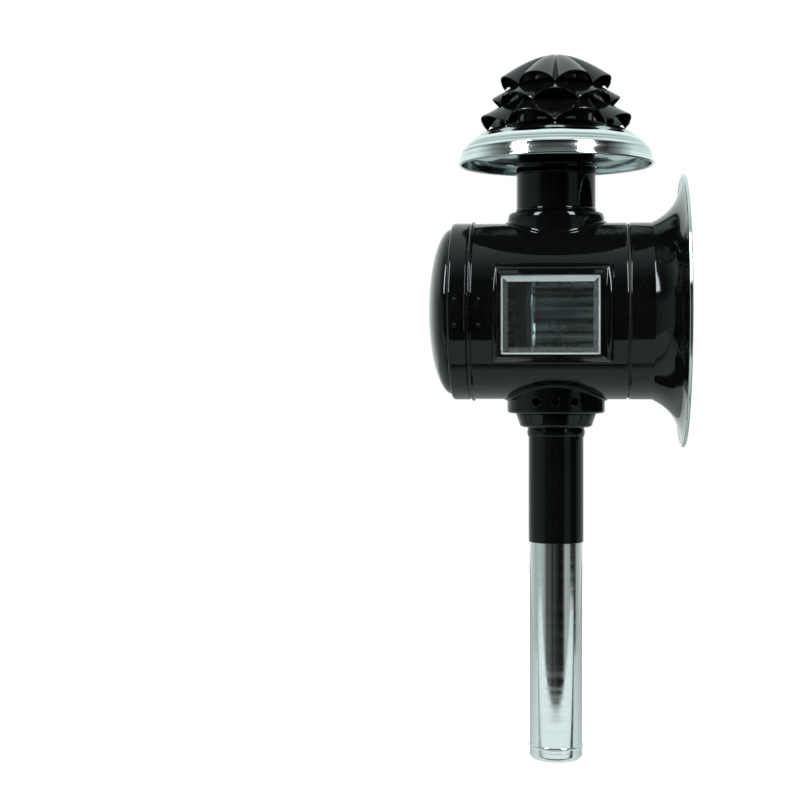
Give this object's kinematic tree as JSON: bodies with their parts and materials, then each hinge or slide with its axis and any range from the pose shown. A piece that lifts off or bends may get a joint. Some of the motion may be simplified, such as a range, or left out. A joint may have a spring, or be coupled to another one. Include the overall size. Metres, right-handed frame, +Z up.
{
  "type": "carriage lamp",
  "caption": "Candle carriage lamp: black drum with a bright trumpet bell, side window, hinged rear door, red tail lens, fluted chimney crown and a sprung candle tube in its stem.",
  "frame": {"origin": "on the stem axis, at the top of the straight black socket, just under its bead", "axes": "+Z up along the stem and chimney, -Y out of the bell, +Y out of the rear door, -X out of the side window"},
  "size_m": [0.152, 0.1425, 0.3955],
  "materials": {
    "black_enamel": "stove enamel, high gloss",
    "polished_nickel": "bright nickel plate over spun brass, fine spinning lines",
    "bright_lining": "bright tinned sheet",
    "soot_black_sheet": "dull black sheet",
    "clear_glass": "clear, polished, bevelled at the window",
    "red_glass": "clear red glass",
    "spring_steel": "bright spring steel"
  },
  "bodies": {
    "lamp": {"stem_socket": "black_enamel", "socket_bead_ring": "black_enamel", "drip_cup": "black_enamel", "air_collar": "black_enamel", "drum_shell": "black_enamel", "drum_lining": "bright_lining", "front_sleeve": "polished_nickel", "front_glass": "clear_glass", "front_glass_ring": "polished_nickel", "front_bell": "black_enamel", "bell_lining": "polished_nickel", "bell_rim_wire": "polished_nickel", "reflector": "polished_nickel", "reflector_boss": "polished_nickel", "reflector_brackets": "bright_lining", "window_frame": "black_enamel", "window_glass": "clear_glass", "window_clips": "bright_lining", "chimney_collar": "black_enamel", "chimney_tube": "black_enamel", "rain_canopy": "polished_nickel", "crown_core": "soot_black_sheet", "crown_bridge": "bright_lining", "crown_stud": "spring_steel", "crown_nut": "spring_steel", "crown_tier_low": "black_enamel", "crown_tier_mid": "black_enamel", "crown_tier_top": "black_enamel", "hinge_body_leaf": "black_enamel", "hinge_pin": "black_enamel", "hinge_body_rivets": "black_enamel", "catch_stud": "black_enamel"},
    "rear_door": {"door_band": "black_enamel", "door_dome": "black_enamel", "hinge_door_leaf": "black_enamel", "hinge_door_rivets": "black_enamel", "catch_tongue": "black_enamel", "tail_lens": "red_glass", "tail_lens_ring": "bright_lining", "tail_light_tube": "soot_black_sheet"},
    "candle_tube_unit": {"candle_tube": "polished_nickel", "candle_tube_ring": "polished_nickel", "candle_tube_end": "polished_nickel", "bayonet_pins": "spring_steel", "candle_spring": "spring_steel"},
    "follower": {"candle_follower": "spring_steel"},
    "cap": {"candle_cap": "polished_nickel"}
  },
  "joints": [
    {"name": "rear_door_hinge", "type": "hinge", "parent": "lamp", "child": "rear_door", "pos_m": [-0.0518, 0.0472, 0.0686], "axis": [0, 0, 1], "range_deg": [0, 110]},
    {"name": "candle_tube_draw", "type": "slide", "parent": "lamp", "child": "candle_tube_unit", "axis": [0, 0, -1], "range_m": [0, 0.105]},
    {"name": "follower_slide", "type": "slide", "parent": "candle_tube_unit", "child": "follower", "axis": [0, 0, -1], "range_m": [0, 0.15], "stiffness_N_per_m": 20, "springref_m": -0.03, "deforming": ["candle_spring"]},
    {"name": "candle_cap_twist", "type": "hinge", "parent": "candle_tube_unit", "child": "cap", "pos_m": [0, 0, 0.03], "axis": [0, 0, 1], "range_deg": [0, 30]}
  ]
}
